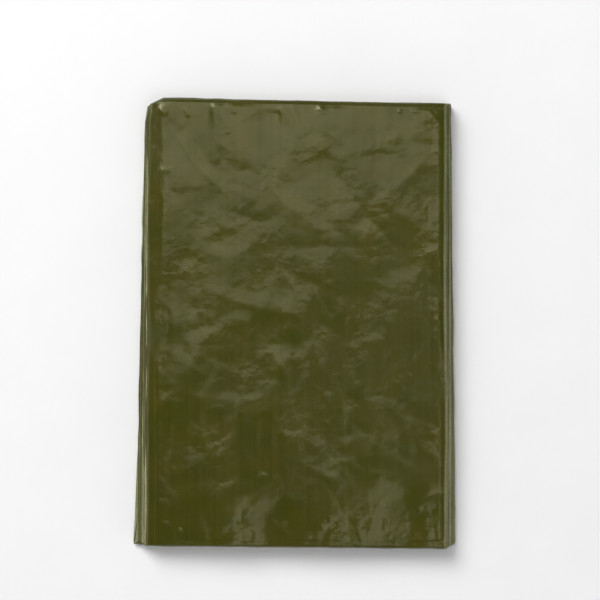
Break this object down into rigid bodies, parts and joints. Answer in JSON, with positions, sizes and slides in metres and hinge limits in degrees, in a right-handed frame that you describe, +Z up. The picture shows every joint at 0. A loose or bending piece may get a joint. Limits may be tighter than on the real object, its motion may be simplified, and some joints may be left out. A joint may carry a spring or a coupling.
{
  "type": "folded emergency sleeping bag",
  "caption": "Lightweight emergency sleeping bag of thin olive plastic film, pressed flat and folded back and forth into a flat rectangular packet.",
  "frame": {"origin": "on the surface it rests on, under the middle of the packet's outline", "axes": "+Z up through the folded layers, +Y along the packet's length towards the end with the dog-eared corner, +X to the right when it is seen from above with that end away"},
  "size_m": [0.1688, 0.235, 0.0151],
  "materials": {
    "olive_film": "semi-gloss olive polyethylene film, creased"
  },
  "bodies": {
    "root": {"folded_film": "olive_film"}
  },
  "joints": []
}
